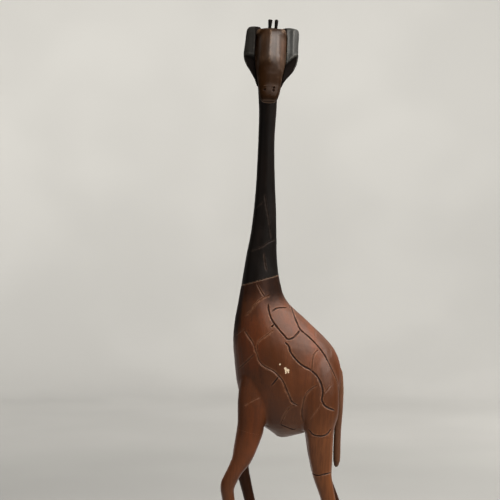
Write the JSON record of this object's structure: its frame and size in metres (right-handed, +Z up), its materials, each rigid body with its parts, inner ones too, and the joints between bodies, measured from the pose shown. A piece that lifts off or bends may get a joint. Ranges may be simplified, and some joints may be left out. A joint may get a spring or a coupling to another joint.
{
  "type": "carved giraffe statue",
  "caption": "Tall slim carved wooden giraffe, walking, its head turned to one side, with drooping ears, peg horns and an engraved coat. It stands on its own hooves.",
  "frame": {"origin": "centre of the bottom of the bounding box, on the ground that the hooves stand on", "axes": "+Z up; the body faces -X; the giraffe's left flank and its turned head face -Y"},
  "size_m": [0.1246, 0.0808, 0.6],
  "materials": {
    "red_brown_stain": "satin red-brown stain, hand-rubbed",
    "black_brown_stain": "satin black-brown stain",
    "bare_wood": "bare, unfinished"
  },
  "bodies": {
    "root": {"torso": "red_brown_stain", "neck": "black_brown_stain", "head": "red_brown_stain", "left_ear": "black_brown_stain", "right_ear": "black_brown_stain", "left_horn": "black_brown_stain", "right_horn": "black_brown_stain", "front_left_leg": "red_brown_stain", "front_right_leg": "red_brown_stain", "hind_left_leg": "red_brown_stain", "hind_right_leg": "red_brown_stain", "tail": "red_brown_stain", "neck_dowel": "bare_wood", "head_dowel": "bare_wood", "front_left_leg_dowel": "bare_wood", "front_right_leg_dowel": "bare_wood", "hind_left_leg_dowel": "bare_wood", "hind_right_leg_dowel": "bare_wood", "left_ear_peg": "bare_wood", "right_ear_peg": "bare_wood", "tail_peg": "bare_wood"}
  },
  "joints": []
}
